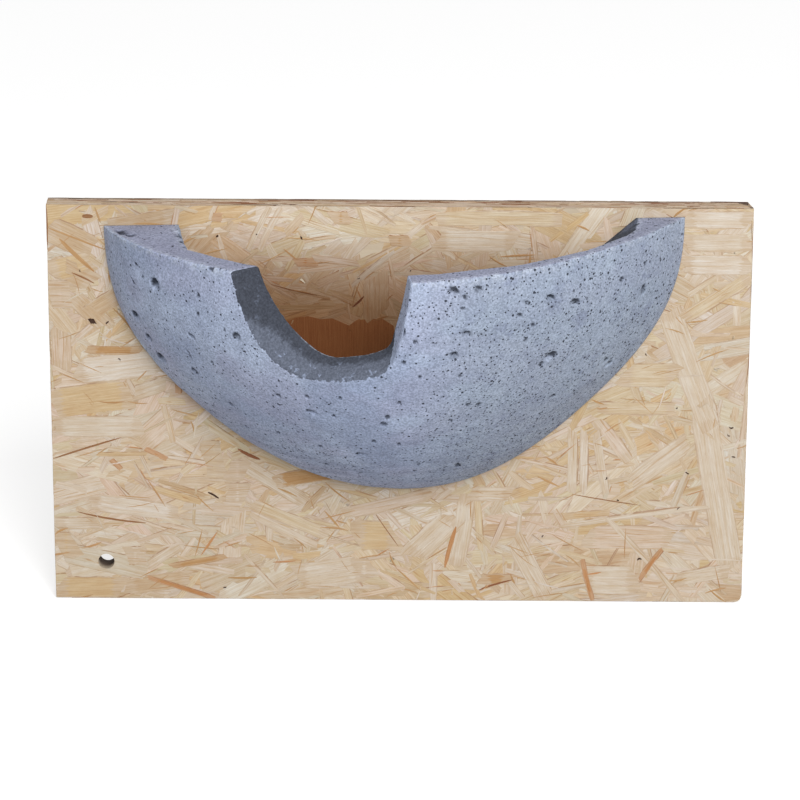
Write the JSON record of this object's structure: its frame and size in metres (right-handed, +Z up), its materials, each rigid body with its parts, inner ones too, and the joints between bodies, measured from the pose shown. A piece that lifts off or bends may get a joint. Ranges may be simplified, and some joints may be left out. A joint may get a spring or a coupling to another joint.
{
  "type": "artificial swallow nest",
  "caption": "Cast concrete half-bowl nest cup with a U-shaped entrance notch, fixed on a rectangular strand board backboard for hanging under eaves.",
  "frame": {"origin": "centre of the backboard's back face, which lies on the wall", "axes": "+X along the board's long side, to the right seen from the front; +Y into the wall; +Z up"},
  "size_m": [0.3, 0.0942, 0.18],
  "materials": {
    "strand_board": "unsealed pressed wood strands, pale straw with honey and brown flakes",
    "cast_concrete": "cast, matt, with air bubble pits and a sawn notch",
    "zinc_steel": "bright zinc plated"
  },
  "bodies": {
    "root": {"backboard": "strand_board", "nest_cup": "cast_concrete", "fixing_screw_left": "zinc_steel", "fixing_screw_right": "zinc_steel", "fixing_screw_bottom": "zinc_steel"}
  },
  "joints": []
}
